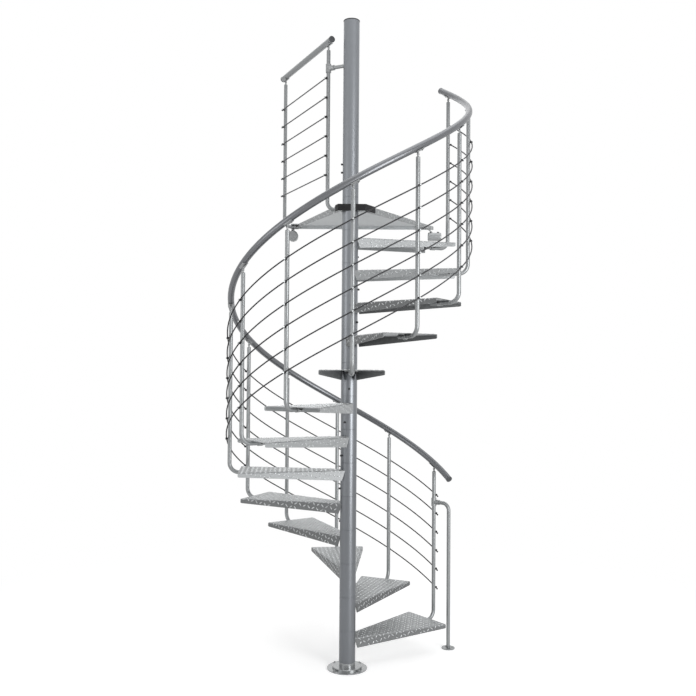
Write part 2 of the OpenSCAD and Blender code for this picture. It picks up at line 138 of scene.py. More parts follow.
class RailSizes(bpy.types.PropertyGroup):
    """The handrail and the infill rods."""

    rail_r: a_length("Rail radius", "Radius of the handrail", 0.020, 0.01)
    rail_over: a_length(
        "Rail height", "Height of the handrail's axis above a baluster", 0.059, 0.03)
    lead: an_angle("Lead", "Turn of the handrail below the first baluster", 12.6)
    tail: an_angle("Tail", "Turn of the handrail past the last baluster", 6.3)
    rod_r: a_length("Rod radius", "Radius of the infill rods", 0.004, 0.001)
    rod_out: a_length(
        "Rod offset", "Distance of the rods outside the balusters' axis", 0.0195, 0.005)
    rod_low: a_length("Lowest rod", "Height of the lowest rod above the treads", 0.192, 0.05)
    guard_rod_low: a_length(
        "Lowest guard rod", "Height of the guard's lowest rod above the landing", 0.203, 0.05)
    rod_spacing: a_length("Rod spacing", "Distance from one rod to the next", 0.125, 0.05)
    rods: a_count("Rods", "Number of infill rods", 6)
    rod_past: a_length("Rod end", "Length of a rod past the last baluster", 0.014)


class FixingSizes(bpy.types.PropertyGroup):
    """Bolts, nuts, screws and welds."""

    clamp_bolt_r: a_length(
        "Clamp bolt", "Radius of the foot clamps' bolt heads", 0.0085, 0.002)
    clamp_in: a_length(
        "Clamp place", "Distance of a clamp from the tread's outer edge", 0.058, 0.02)
    clamp_bolt_gap: a_length(
        "Clamp bolt gap", "Distance between a clamp's two bolts", 0.0535, 0.02)
    rod_nut_r: a_length("Rod nut", "Radius of the nuts on the rod clips", 0.0052, 0.001)
    column_screw_r: a_length(
        "Column screw", "Radius of the screws in the column's sleeves", 0.0062, 0.001)
    column_screw_drop: a_length(
        "Column screw drop", "Distance of those screws below each tread", 0.118, 0.02)
    anchor_r: a_length(
        "Anchor nut", "Radius of the nuts that hold the base plate", 0.0078, 0.002)
    bead_r: a_length("Weld bead", "Radius of the weld beads", 0.0032, 0.0005)


class FinishColours(bpy.types.PropertyGroup):
    """Colours of the stair's finishes."""

    base: a_colour("Base", "Zinc on the base", 0.34, 0.35, 0.355)
    column: a_colour("Column", "Zinc on the column", 0.175, 0.184, 0.197)
    plate: a_colour("Plate", "Zinc on the treads and the landing", 0.30, 0.31, 0.315)
    tube: a_colour("Tube", "Zinc on the posts", 0.27, 0.28, 0.285)
    fitting: a_colour("Fitting", "Zinc on clamps, saddles and brackets", 0.33, 0.34, 0.345)
    # Painted highlight in part: the tears' colour is their worn tops together with a painted glint of
    # light
    tears: a_colour("Tears", "Worn tops of the plate's tears", 0.72, 0.74, 0.75)
    rail: a_colour("Rail", "Steel of the handrails", 0.17, 0.175, 0.185)
    rod: a_colour("Rod", "Steel of the infill rods", 0.015, 0.015, 0.016)
    black: a_colour("Black", "Caps and blackened fixings", 0.018, 0.018, 0.019)


class StudioSettings(bpy.types.PropertyGroup):
    """Camera, lamps and white surroundings."""

    distance: a_length(
        "Distance", "Distance of the camera from the column's axis", 5.243, 1.0)
    eye_height: a_length("Eye height", "Height of the camera above the floor", 1.861, 0.1)
    pitch: an_angle("Pitch", "How far the camera looks up", 1.447)
    yaw: an_angle("Yaw", "How far the camera looks to the left", 0.092)
    roll: an_angle("Roll", "How far the camera leans to the left", 0.419)
    lens: FloatProperty(
        name="Lens", description="Focal length of the camera, in millimetres",
        default=43.14, min=10.0)
    key: a_power("Key lamp", "Power of the large lamp on the right", 185.0)
    fill: a_power("Fill lamp", "Power of the lamp on the left", 36.0)
    top: a_power("Top lamp", "Power of the lamp overhead", 130.0)
    back: a_power("Back lamp", "Power of the lamp behind the stair", 85.0)
    air: FloatProperty(
        name="Air", description="Strength of the light from all round", default=0.28,
        min=0.0)


GROUPS = {
    "stair_layout": StairLayout,
    "stair_tears": TearPattern,
    "stair_rails": RailSizes,
    "stair_fixings": FixingSizes,
    "stair_colours": FinishColours,
    "stair_studio": StudioSettings,
}


# Node trees ----------------------------------------------------------------------------


def forward(operation):
    """A Math node's operation on a wire and what stands after it."""
    return lambda wire, *others: wire.graph.node(
        "ShaderNodeMath", {"operation": operation}, [wire, *others])


def reflected(operation):
    """A Math node's operation on a number and the wire that stands after it."""
    return lambda wire, number: wire.graph.node(
        "ShaderNodeMath", {"operation": operation}, [number, wire])


class Wire:
    """A socket in a node tree. Arithmetic on a wire adds Math nodes to its tree."""

    def __init__(self, graph, socket):
        self.graph = graph
        self.socket = socket

    def __getitem__(self, output):
        return Wire(self.graph, self.socket.node.outputs[output])

    __add__, __radd__ = forward("ADD"), reflected("ADD")
    __sub__, __rsub__ = forward("SUBTRACT"), reflected("SUBTRACT")
    __mul__, __rmul__ = forward("MULTIPLY"), reflected("MULTIPLY")
    __truediv__, __rtruediv__ = forward("DIVIDE"), reflected("DIVIDE")
    __lt__, __gt__ = forward("LESS_THAN"), forward("GREATER_THAN")
    __mod__, __abs__ = forward("MODULO"), forward("ABSOLUTE")
    at_least, at_most = forward("MAXIMUM"), forward("MINIMUM")
    sin, cos = forward("SINE"), forward("COSINE")
    round, sqrt = forward("ROUND"), forward("SQRT")


class Graph:
    """Adds nodes and links to one node tree."""

    def __init__(self, tree):
        self.tree = tree

    def node(self, kind, settings=None, values=(), output=0):
        """A node with its settings made first, then its sockets' values or links."""
        made = self.tree.nodes.new(kind)
        for name, value in (settings or {}).items():
            setattr(made, name, value)
        pairs = values.items() if isinstance(values, dict) else enumerate(values)
        for key, value in pairs:
            if isinstance(value, Wire):
                self.tree.links.new(value.socket, made.inputs[key])
            else:
                made.inputs[key].default_value = value
        return Wire(self, made.outputs[output]) if made.outputs else None

    def vector(self, x, y, z):
        return self.node("ShaderNodeCombineXYZ", values=[x, y, z])

    def axes(self, vector):
        split = self.node("ShaderNodeSeparateXYZ", values=[vector])
        return split["X"], split["Y"], split["Z"]


# Geometry Nodes ------------------------------------------------------------------------


def new_tree(name, inputs):
    """A Geometry Nodes tree with named inputs, each given by its default, and a finish."""
    kinds = {float: "NodeSocketFloat", int: "NodeSocketInt"}
    inputs = {**inputs, "Finish": "NodeSocketMaterial"}
    tree = bpy.data.node_groups.new(name, "GeometryNodeTree")
    tree.interface.new_socket("Geometry", in_out="OUTPUT", socket_type="NodeSocketGeometry")
    tree.interface.new_socket("Geometry", in_out="INPUT", socket_type="NodeSocketGeometry")
    for label, default in inputs.items():
        socket = tree.interface.new_socket(
            label, in_out="INPUT", socket_type=kinds.get(type(default), default))
        if type(default) in kinds:
            socket.default_value = default
    graph = Graph(tree)
    start = graph.node("NodeGroupInput")
    return graph, {label: start[label] for label in ["Geometry", *inputs]}


def end_tree(graph, ask, geometry):
    """Ends a tree: instances are made real, and the finish is set."""
    real = graph.node("GeometryNodeRealizeInstances", values=[geometry])
    done = graph.node("GeometryNodeSetMaterial", values={"Geometry": real, "Material": ask["Finish"]})
    graph.node("NodeGroupOutput", values=[done])
    return graph.tree


def make_piece(name, look, tree, values, points=None, edges=()):
    """Runs a tree on an object, keeps the result as a plain mesh, and hands it over.

    look is the finish. points are pairs of a place
    and the direction that it faces.
    """
    values = {**values, "Finish": finish(look)}
    mesh = bpy.data.meshes.new(name)
    if points:
        mesh.from_pydata([place for place, facing in points], edges, [])
        facings = mesh.attributes.new("facing", "FLOAT_VECTOR", "POINT")
        for row, (place, facing) in zip(facings.data, points):
            row.vector = Vector(facing).to_track_quat("Z", "Y").to_euler()
    piece = bpy.data.objects.new(name, mesh)
    bpy.context.scene.collection.objects.link(piece)
    modifier = piece.modifiers.new(tree.name, "NODES")
    modifier.node_group = tree
    for item in tree.interface.items_tree:
        if item.in_out == "INPUT" and item.name in values:
            modifier[item.identifier] = values[item.name]
    shown = piece.evaluated_get(bpy.context.evaluated_depsgraph_get())
    result = bpy.data.meshes.new_from_object(shown)
    piece.modifiers.clear()
    piece.data = result
    if not result.polygons:
        raise RuntimeError(f"{name} came out empty")
    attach(piece, BODY)
    return piece


STAIR_INPUTS = {"Copies": 1, "Turn": 0.0, "First Turn": 0.0, "Rise": 0.0, "First Top": 0.0}


def stair_values(layout, first_top):
    """Values of the stair inputs, for a shape that is copied to every tread."""
    return {"Copies": layout.treads, "Turn": layout.turn, "First Turn": layout.first_turn,
            "Rise": layout.rise, "First Top": first_top}


def stacked(graph, count, lowest, step):
    """Points on the column's axis, one above the other."""
    return graph.node(
        "GeometryNodeMeshLine", {"mode": "OFFSET"},
        {"Count": count, "Start Location": graph.vector(0, 0, lowest),
         "Offset": graph.vector(0, 0, step)})


def copied(graph, points, shape, rotation=(0, 0, 0)):
    """A copy of a shape on each point."""
    return graph.node(
        "GeometryNodeInstanceOnPoints",
        values={"Points": points, "Instance": shape, "Rotation": rotation})


def up_the_stair(graph, shape, stair):
    """Copies a shape up the stair, each copy turned about the column."""
    places = stacked(graph, stair["Copies"], stair["First Top"], stair["Rise"])
    turn = stair["First Turn"] + stair["Turn"] * graph.node("GeometryNodeInputIndex")
    return copied(graph, places, shape, graph.vector(0, 0, turn))


def sweep(graph, path, radius, sides, scale=1.0):
    """A round bar along a path. Its surface knows its place along and round the bar."""
    along = graph.node("GeometryNodeSplineParameter", output="Length")
    path = graph.node(
        "GeometryNodeStoreNamedAttribute", {"data_type": "FLOAT", "domain": "POINT"},
        {"Geometry": path, "Name": "along", "Value": along})
    ring = graph.node(
        "GeometryNodeCurvePrimitiveCircle", values={"Resolution": sides, "Radius": radius})
    around = graph.node("GeometryNodeSplineParameter") * math.tau
    ring = graph.node(
        "GeometryNodeStoreNamedAttribute", {"data_type": "FLOAT_VECTOR", "domain": "POINT"},
        {"Geometry": ring, "Name": "around",
         "Value": graph.vector(around.cos(), around.sin(), 0)})
    return graph.node(
        "GeometryNodeCurveToMesh",
        values={"Curve": path, "Profile Curve": ring, "Scale": scale, "Fill Caps": True})


def helix_tree():
    """Round bars along the stair's helix, one above the other."""
    graph, ask = new_tree("helix bars", {
        "Radius": 0.7, "Bar Radius": 0.02, "Sides": 24, "Steps": 120, "Sweep": 6.0,
        "Climb": 2.0, "Start Turn": 0.0, "Start Height": 1.0, "Bars": 1, "Spacing": 0.1})
    path = graph.node(
        "GeometryNodeCurveSpiral",
        values={"Resolution": ask["Steps"], "Rotations": ask["Sweep"] / math.tau,
                "Start Radius": ask["Radius"], "End Radius": ask["Radius"],
                "Height": ask["Climb"], "Reverse": True})
    bar = sweep(graph, path, ask["Bar Radius"], ask["Sides"])
    places = stacked(graph, ask["Bars"], ask["Start Height"], ask["Spacing"])
    bars = copied(graph, places, bar, graph.vector(0, 0, ask["Start Turn"]))
    return end_tree(graph, ask, bars)


def weld_tree():
    """Rippled weld beads round the column, one above and one below each plate."""
    graph, ask = new_tree("weld beads", {
        "Radius": 0.05, "Bead": 0.003, "Start Angle": -0.9, "Arc": 1.8, "Ripples": 30,
        "Steps": 90, "Plate": 0.004, **STAIR_INPUTS})
    path = graph.node(
        "GeometryNodeCurveArc", {"mode": "RADIUS"},
        {"Resolution": ask["Steps"], "Radius": ask["Radius"],
         "Start Angle": ask["Start Angle"], "Sweep Angle": ask["Arc"]})
    wave = abs((graph.node("GeometryNodeSplineParameter") * ask["Ripples"] * math.pi).sin())
    ripple, thinnest = 0.3, 0.75
    bead = sweep(graph, path, ask["Bead"], 6, wave * ripple + thinnest)
    beads = copied(graph, stacked(graph, 2, 0, 0 - ask["Plate"]), bead)
    return end_tree(graph, ask, up_the_stair(graph, beads, ask))


# How far each part of a fixing is sunk into the one below it, so that no faces coincide
FIXING_SINK = 0.00005


def fixing_tree():
    """Bolts, nuts and screws on points that each face along their own axis."""
    graph, ask = new_tree("fixings", {
        "Washer Radius": 0.01, "Washer Height": 0.0015, "Head Radius": 0.008,
        "Head Height": 0.006, "Head Sides": 6, "Chamfer": 0.001, "Tip Radius": 0.005,
        "Tip Height": 0.003})
    height = 0.0
    joined = graph.node("GeometryNodeJoinGeometry")
    for radius, depth, sides, foot, top in (
            ("Washer Radius", "Washer Height", 16, 1.0, 1.0),
            ("Head Radius", "Head Height", ask["Head Sides"], 1.0, 1.0),
            ("Head Radius", "Chamfer", ask["Head Sides"], 0.995, 0.82),
            ("Tip Radius", "Tip Height", 10, 1.0, 1.0)):
        part = graph.node(
            "GeometryNodeMeshCone",
            values={"Vertices": sides, "Radius Bottom": ask[radius] * foot,
                    "Radius Top": ask[radius] * top, "Depth": ask[depth]})
        part = graph.node(
            "GeometryNodeTransform",
            values={"Geometry": part, "Translation": graph.vector(0, 0, height)})
        graph.tree.links.new(part.socket, joined.socket.node.inputs[0])
        height = ask[depth] + height - FIXING_SINK
    facing = graph.node(
        "GeometryNodeInputNamedAttribute", {"data_type": "FLOAT_VECTOR"}, {"Name": "facing"})
    return end_tree(graph, ask, copied(graph, ask["Geometry"], joined, facing))


def put_fixings(name, look, points, washer, head, sides, chamfer, tip):
    """A piece of like fixings. washer, head and tip are pairs of a radius and a height."""
    make_piece(name, look, fixing_tree(), {
        "Washer Radius": washer[0], "Washer Height": washer[1], "Head Radius": head[0],
        "Head Height": head[1], "Head Sides": sides, "Chamfer": chamfer,
        "Tip Radius": tip[0], "Tip Height": tip[1]}, points)


def band_tree():
    """A flat band with rounded edges along a line of points, bent round its corners."""
    graph, ask = new_tree("edge band", {
        "Corner": 0.01, "Thick": 0.003, "Height": 0.04})
    path = graph.node("GeometryNodeMeshToCurve", values=[ask["Geometry"]])
    path = graph.node(
        "GeometryNodeFilletCurve", {"mode": "POLY"},
        {"Curve": path, "Radius": ask["Corner"], "Count": 6})
    path = graph.node("GeometryNodeSetCurveNormal", {"mode": "Z_UP"}, [path])
    rounding = 0.4
    section = graph.node(
        "GeometryNodeCurvePrimitiveQuadrilateral",
        values={"Width": ask["Thick"], "Height": ask["Height"]})
    section = graph.node(
        "GeometryNodeFilletCurve", {"mode": "POLY"},
        {"Curve": section, "Radius": ask["Thick"] * rounding, "Count": 3})
    band = graph.node(
        "GeometryNodeCurveToMesh",
        values={"Curve": path, "Profile Curve": section, "Fill Caps": True})
    return end_tree(graph, ask, band)


def tear_tree():
    """Raised tears on a plate that tapers towards the column and is folded at its sides.

    The tears are laid out flat, and each point is then carried round the fold.
    """
    graph, ask = new_tree("plate tears", {
        "Tear": "NodeSocketObject", "Pitch": 0.03, "Margin": 0.007, "Reach": 0.68,
        "Inner Radius": 0.06, "Left Half": 0.04, "Left Angle": 0.2, "Right Half": 0.04,
        "Right Angle": 0.2, "Fold": 0.007, "Deep": 0.06, "Shallow": 0.026, "Rake": 0.045,
        "Round": 0.016, "Gap Near": -1.0, "Gap Far": -1.0, "Gap Near Half": 0.0,
        "Gap Far Half": 0.0, **STAIR_INPUTS})

    def edge_place(out, across):
        """A side's values, and the distance along its edge and inwards from its fold."""
        left = across > 0
        half = ask["Right Half"] + left * (ask["Left Half"] - ask["Right Half"])
        angle = ask["Right Angle"] + left * (ask["Left Angle"] - ask["Right Angle"])
        beyond = abs(across) - half
        along = out * angle.cos() + beyond * angle.sin()
        inside = out * angle.sin() - beyond * angle.cos() - ask["Fold"]
        return left, half, angle, along, inside

    def flange_depth(along, angle):
        """Depth of the flange below the plate's top, at a place along its edge."""
        end = ask["Reach"] / angle.cos()
        share = ((along - ask["Rake"]) / (end - ask["Rake"])).at_least(0).at_most(1)
        return ask["Deep"] - share * (ask["Deep"] - ask["Shallow"])

    spread, flange_margin, behind_column = 2.6, 0.6, 0.3
    count = (ask["Reach"] * spread / ask["Pitch"] / 2).round() * 2
    grid = graph.node(
        "GeometryNodeMeshGrid",
        values={"Size X": count * ask["Pitch"], "Size Y": count * ask["Pitch"],
                "Vertices X": count + 1, "Vertices Y": count + 1})
    out, across, _ = graph.axes(graph.node("GeometryNodeInputPosition"))
    left, _, edge_angle, along, inside = edge_place(out, across)
    quarter = ask["Fold"] * (math.pi / 2)
    depth = ask["Fold"] - inside - quarter
    on_flange = inside < 0
    low_edge = flange_depth(along, edge_angle) - ask["Margin"] * flange_margin
    outside = (depth > low_edge) * on_flange
    past = out > ask["Reach"] - ask["Margin"]
    corner = (along > ask["Reach"] / edge_angle.cos() - ask["Round"]) * (inside < 0 - quarter)
    inner = (out * out + across * across).sqrt() < ask["Inner Radius"]
    behind = out < ask["Inner Radius"] * behind_column
    raked = (along < ask["Rake"]) * on_flange
    near = (abs(out - ask["Gap Near"]) < ask["Gap Near Half"]) * left * on_flange
    far = (abs(out - ask["Gap Far"]) < ask["Gap Far Half"]) * left * on_flange
    dropped = outside + past + corner + inner + behind + raked + near + far
    spots = graph.node(
        "GeometryNodeDeleteGeometry", {"domain": "POINT"},
        {"Geometry": grid, "Selection": dropped > 0.5})

    step = abs((out / ask["Pitch"]).round() + (across / ask["Pitch"]).round())
    lean = (step % 2 - 0.5) * (math.pi / 2)
    tear = graph.node(
        "GeometryNodeObjectInfo", values={"Object": ask["Tear"]}, output="Geometry")
    tears = graph.node(
        "GeometryNodeRealizeInstances",
        values=[copied(graph, spots, tear, graph.vector(0, 0, lean))])

    out, across, lift = graph.axes(graph.node("GeometryNodeInputPosition"))
    out = out.at_most(ask["Reach"])
    left, half, edge_angle, along, inside = edge_place(out, across)
    bend = ((0 - inside) / ask["Fold"]).at_least(0).at_most(math.pi / 2)
    lowest = flange_depth(along, edge_angle) - ask["Fold"]
    drop = (0 - inside - quarter).at_least(0).at_most(lowest)
    inward = ask["Fold"] + inside.at_least(0) - (ask["Fold"] + lift) * bend.sin()
    height = (ask["Fold"] + lift) * bend.cos() - ask["Fold"] - drop
    new_out = along * edge_angle.cos() + inward * edge_angle.sin()
    new_across = half + along * edge_angle.sin() - inward * edge_angle.cos()
    folded = graph.node(
        "GeometryNodeSetPosition",
        values={"Geometry": tears,
                "Position": graph.vector(new_out, new_across * (left * 2 - 1), height)})
    smooth = graph.node("GeometryNodeSetShadeSmooth", values={"Geometry": folded})
    return end_tree(graph, ask, up_the_stair(graph, smooth, ask))


def tear_shape(sizes):
    """One raised tear: a pointed lens with a rounded ridge, closed underneath."""
    outline = ((-1.0, 0.0), (-0.72, 0.52), (-0.36, 0.88), (0.0, 1.0), (0.36, 0.88),
               (0.72, 0.52), (1.0, 0.0))
    ridge = ((-0.66, 0.7), (-0.34, 0.95), (0.0, 1.0), (0.34, 0.95), (0.66, 0.7))
    half_l, half_w = sizes.length / 2, sizes.width / 2
    sunk = -0.2 * sizes.height
    mesh = bmesh.new()
    crest = [mesh.verts.new((x * half_l, 0, z * sizes.height)) for x, z in ridge]
    rims = []
    for side in (1, -1):
        rims.append([mesh.verts.new((x * half_l, side * y * half_w, sunk))
                     for x, y in outline[1:-1]])
    tips = [mesh.verts.new((x * half_l, 0, sunk)) for x in (-1, 1)]
    for rim in rims:
        full = [tips[0], *rim, tips[1]]
        mesh.faces.new((full[0], full[1], crest[0]))
        mesh.faces.new((full[-2], full[-1], crest[-1]))
        for k in range(len(crest) - 1):
            mesh.faces.new((full[k + 1], full[k + 2], crest[k + 1], crest[k]))
    mesh.faces.new([tips[0], *rims[0], tips[1], *reversed(rims[1])])
    bmesh.ops.recalc_face_normals(mesh, faces=mesh.faces)
    shape = bpy.data.meshes.new("tear_shape")
    mesh.to_mesh(shape)
    mesh.free()
    tear = bpy.data.objects.new("tear_shape", shape)
    bpy.context.scene.collection.objects.link(tear)
    return tear


# Finishes ------------------------------------------------------------------------------

FINISHES = {}
# The sleeves belong to the treads' nodes, and are told from the plates by their radius
SLEEVE_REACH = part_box("top_sleeve")[1].x + 0.0006
COLUMN_ROUGH, COLUMN_METAL = 0.36, 0.85
# Painted light: the column is painted paler by this share of its colour, from one height over the
# next stretch
PALING, PALING_FROM, PALING_RUN = 0.3, 1.0, 1.2
# Treads whose plates get painted light: lighter upright faces and undersides, for the stronger light
# on them
PAINTED_LIGHT_PLATES = ("tread_06", "tread_07", "tread_08", "tread_12", "tread_13")
NODE_FINISHES = {"rod_clips": "black_plastic", "guard_rail": "galvanised_tube",
                 "landing": "landing_plate", **dict.fromkeys(PAINTED_LIGHT_PLATES, "painted_light_plate")}


def finish(name):
    """A finish that the first operator has made."""
    if name not in FINISHES:
        raise RuntimeError(f"make the finishes first: {name} is missing")
    return FINISHES[name]


def noise(graph, place, scale, detail=3.0):
    """Smooth noise about 0.5. scale is the number of waves in a metre."""
    return graph.node(
        "ShaderNodeTexNoise", values={"Vector": place, "Scale": scale, "Detail": detail})


def shaded(graph, colour, tone):
    """A colour made lighter or darker by a wire."""
    return graph.node(
        "ShaderNodeVectorMath", {"operation": "SCALE"}, {0: tuple(colour), "Scale": tone})


def end_finish(graph, colour, metal, rough, bump, gloss=0.5):
    """Ends a finish with its shader. bump holds its strength, its depth and its height."""
    strength, depth, height = bump
    normal = graph.node("ShaderNodeBump", values={
        "Strength": strength, "Distance": depth, "Height": height})
    shader = graph.node("ShaderNodeBsdfPrincipled", values={
        "Base Color": colour, "Metallic": metal, "Roughness": rough,
        "Specular IOR Level": gloss, "Normal": normal})
    graph.node("ShaderNodeOutputMaterial", values={"Surface": shader})


def bare_graph(owner):
    """The node tree of a material or a world, with nothing in it."""
    owner.use_nodes = True
    owner.node_tree.nodes.clear()
    return Graph(owner.node_tree)


def new_finish(name):
    """A finish with nothing in its tree."""
    FINISHES[name] = bpy.data.materials.new(name)
    return bare_graph(FINISHES[name])


def zinc(name, colour, grain=0.014, contrast=0.16, rough=0.40, metal=0.75, runs=0.0,
         mottle=1.0, faces=None, inner=0.0, column=False):
    """Hot-dip galvanised steel: zinc grains, cloudy patches, long runs and a fine tooth.

    contrast sets how much the grains show, and mottle the patches and the tooth. faces
    gives painted light and shade: the tone of the upright faces and of the undersides,
    against the tops' 1, painted by which way each face looks. inner paints light on the
    upright faces that look along -Y. column is for the column alone, which is painted
    paler as it climbs, painted light.
    """
    graph = new_finish(name)
    place = graph.node("ShaderNodeTexCoord", output="Object")
    grains = graph.node(
        "ShaderNodeTexVoronoi", values={"Vector": place, "Scale": 1 / grain}, output="Color")
    flake = graph.node("ShaderNodeSeparateColor", values=[grains])
    cloud = noise(graph, place, 9.0)
    tooth = noise(graph, place, 620.0, 2.0)
    long_place = graph.node(
        "ShaderNodeVectorMath", {"operation": "MULTIPLY"}, [place, (1.0, 1.0, 0.06)])
    run = noise(graph, long_place, 60.0, 2.0)
    tone = (1 + (flake - 0.5) * contrast + (cloud - 0.5) * (0.30 * mottle)
            + (tooth - 0.5) * (0.22 * mottle) + (run - 0.5) * runs)
    dull = rough + (flake - 0.5) * (contrast * 0.6) + (cloud - 0.5) * (0.16 * mottle)
    bump = (0.2 * mottle, 0.0004, tooth * 0.6 + flake * 0.15 + cloud * 0.5)
    x, y, height = graph.axes(place)
    # Painted light: the column and its sleeves are painted paler as they climb
    paler = (height - PALING_FROM).at_least(0).at_most(PALING_RUN) * PALING
    painted = shaded(graph, colour, tone + paler if column else tone)
    if faces:
        # Painted light and shade: upright faces and undersides are painted darker or lighter than the
        # tops, for how the light falls on them
        upright, under = faces
        downward, forward_facing = -0.5, -0.9
        _, toward, up = graph.axes(graph.node("ShaderNodeTexCoord", output="Normal"))
        below = (up < downward) * (under - 1)
        # Painted light through inner, on the upright faces that look along -Y
        beside = (1 - abs(up)) * (upright - 1) + (toward < forward_facing) * inner
        on_sleeve = x * x + y * y < SLEEVE_REACH ** 2
        smooth = 1 + (cloud - 0.5) * 0.06 + (run - 0.5) * 0.06
        sleeve = bpy.context.scene.stair_colours.column
        painted = graph.node("ShaderNodeMix", {"data_type": "RGBA"}, {
            "Factor": on_sleeve, 6: shaded(graph, colour, tone * (1 + below + beside)),
            7: shaded(graph, sleeve, smooth + paler)}, output=2)
        dull = dull + on_sleeve * (COLUMN_ROUGH - dull)
        metal = metal + on_sleeve * (COLUMN_METAL - metal)
    end_finish(graph, painted, metal, dull, bump)


def drawn_steel(name, colour, rough, metal, lines, gloss=0.5, painted_paling=0.0):
    """Drawn bar: fine lines that follow its length, dull patches and handling marks.

    painted_paling paints light on the bar: it lightens the bar for each metre past the first two, for
    the brighter light on the upper rods.
    """
    graph = new_finish(name)
    pale_from = 2.0
    along = graph.node(
        "ShaderNodeAttribute", {"attribute_name": "along"}, output="Fac")
    around = graph.node(
        "ShaderNodeAttribute", {"attribute_name": "around"}, output="Vector")
    ring_x, ring_y, _ = graph.axes(around)
    place = graph.vector(along * 0.8, ring_x, ring_y)
    line = noise(graph, place, lines, 3.0)
    patch = noise(graph, graph.vector(along, ring_x * 0.02, ring_y * 0.02), 6.0)
    speck = noise(graph, graph.vector(along, ring_x * 0.03, ring_y * 0.03), 240.0, 2.0)
    tone = 1 + (line - 0.5) * 0.14 + (patch - 0.5) * 0.20 + (speck - 0.5) * 0.10
    # Painted light: the bar is painted paler along its length past pale_from
    tone = tone + (along - pale_from).at_least(0) * painted_paling
    dull = rough + (line - 0.5) * 0.08 + (patch - 0.5) * 0.12
    bump = (0.06, 0.0003, line * 0.6 + speck * 0.4)
    end_finish(graph, shaded(graph, colour, tone), metal, dull, bump, gloss)


def rolled_steel(name, colour, rough, metal, gloss=0.5):
    """Plain dark or grey bar stock: cloudy tone, specks and a fine grain along Z."""
    graph = new_finish(name)
    place = graph.node("ShaderNodeTexCoord", output="Object")
    patch = noise(graph, place, 22.0)
    speck = noise(graph, place, 800.0, 2.0)
    tone = 1 + (patch - 0.5) * 0.5 + (speck - 0.5) * 0.35
    dull = rough + (patch - 0.5) * 0.2
    bump = (0.2, 0.0003, speck)
    end_finish(graph, shaded(graph, colour, tone), metal, dull, bump, gloss)


# Operators -----------------------------------------------------------------------------


class STAIR_OT_finishes(bpy.types.Operator):
    """Makes the finishes and gives them to the CAD pieces by their material slots"""

    bl_idname = "stair.finishes"
    bl_label = "Finishes"

    def execute(self, context):
        colours = context.scene.stair_colours
        plate = {"grain": 0.010, "contrast": 0.10, "mottle": 0.5}
        # Painted light: the five treads' and the landing's plates get lighter upright faces and
        # undersides
        painted_light = {**plate, "rough": 0.54, "metal": 0.5, "faces": (1.2, 1.85)}
        zinc("galvanised_base", colours.base, contrast=0.03, rough=0.24, mottle=0.12)
        zinc("galvanised_column", colours.column, grain=0.02, contrast=0.04,
             rough=COLUMN_ROUGH, metal=COLUMN_METAL, runs=0.06, mottle=0.12, column=True)
        # Painted shade on the plates' upright faces, painted light on their undersides
        zinc("galvanised_plate", colours.plate, rough=0.52, metal=0.6, faces=(0.58, 1.5),
             **plate)
        zinc("painted_light_plate", colours.plate, **painted_light)
        # Painted light: inner lightens the upright faces inside the landing's back flange
        zinc("landing_plate", colours.plate, inner=0.9, **painted_light)
        zinc("galvanised_tube", colours.tube, grain=0.016, contrast=0.05, rough=0.38,
             metal=0.8, runs=0.08, mottle=0.12)
        zinc("galvanised_fitting", colours.fitting, grain=0.006, contrast=0.18, rough=0.36,
             metal=0.5, mottle=0.5)
        # Tears: worn tops with a painted glint, and painted shade on their upright faces through
        # faces
        zinc("tears_worn_and_painted_glint", colours.tears, grain=0.004, contrast=0.20, rough=0.30, metal=0.75,
             faces=(0.7, 1.0))
        zinc("bright_nut", colours.tears, grain=0.004, contrast=0.20, rough=0.30, metal=0.6)
        zinc("weld_bead", colours.base, grain=0.003, contrast=0.35, rough=0.46)
        # rod_steel, on the CAD rods, is painted three times lighter than the infill rods' colour:
        # painted light, like the infill rods' paler upper ends
        cap_tone, painted_light_rod_tone = 0.5, 3.0
        rolled_steel("rail_cap_steel", Vector(colours.rail) * cap_tone, 0.32, 0.8)
        rolled_steel("rod_steel", Vector(colours.rod) * painted_light_rod_tone, 0.45, 0.2)
        rolled_steel("black_plastic", colours.black, 0.5, 0.0, gloss=0.2)
        rolled_steel("blackened_steel", colours.black, 0.36, 0.3)
        drawn_steel("rail_steel", colours.rail, 0.33, 0.8, lines=7.0)
        drawn_steel("drawn_rod", colours.rod, 0.45, 0.0, lines=5.0, gloss=0.15, painted_paling=1.4)
        for name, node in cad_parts.items():
            slot = node.material_slots[0].material.name
            kind = "rail_cap_steel" if slot == "rail_steel" else slot
            node.material_slots[0].material = finish(NODE_FINISHES.get(name, kind))
        return {"FINISHED"}


def plate_top(layout, node="tread_01"):
    """Height of the plate of a tread or the landing. Its sleeve stands above it."""
    return top_of(node) - layout.sleeve_over


def raise_tears(name, scene, values):
    """Raises tears on one shape of plate, or on a stair of such plates."""
    sizes = scene.stair_tears
    tear = tear_shape(sizes)
    make_piece(name, "tears_worn_and_painted_glint", tear_tree(), {
        "Tear": tear, "Pitch": sizes.pitch, "Margin": sizes.margin,
        "Inner Radius": scene.stair_layout.column_r + sizes.margin, **values})
    bpy.data.objects.remove(tear)


class STAIR_OT_tread_tears(bpy.types.Operator):
    """Raises the tears on the folded plate of all the treads"""

    bl_idname = "stair.tread_tears"
    bl_label = "Tread tears"

    def execute(self, context):
        layout = context.scene.stair_layout
        outer_half, root_half = 0.1825, 0.0385
        angle = math.atan((outer_half - root_half) / TREAD_REACH)
        raise_tears("tread_tears", context.scene, {
            "Reach": TREAD_REACH, "Left Half": root_half, "Left Angle": angle,
            "Right Half": root_half, "Right Angle": angle,
            "Fold": 0.007, "Deep": 0.064, "Shallow": 0.026,
            **stair_values(layout, plate_top(layout))})
        return {"FINISHED"}


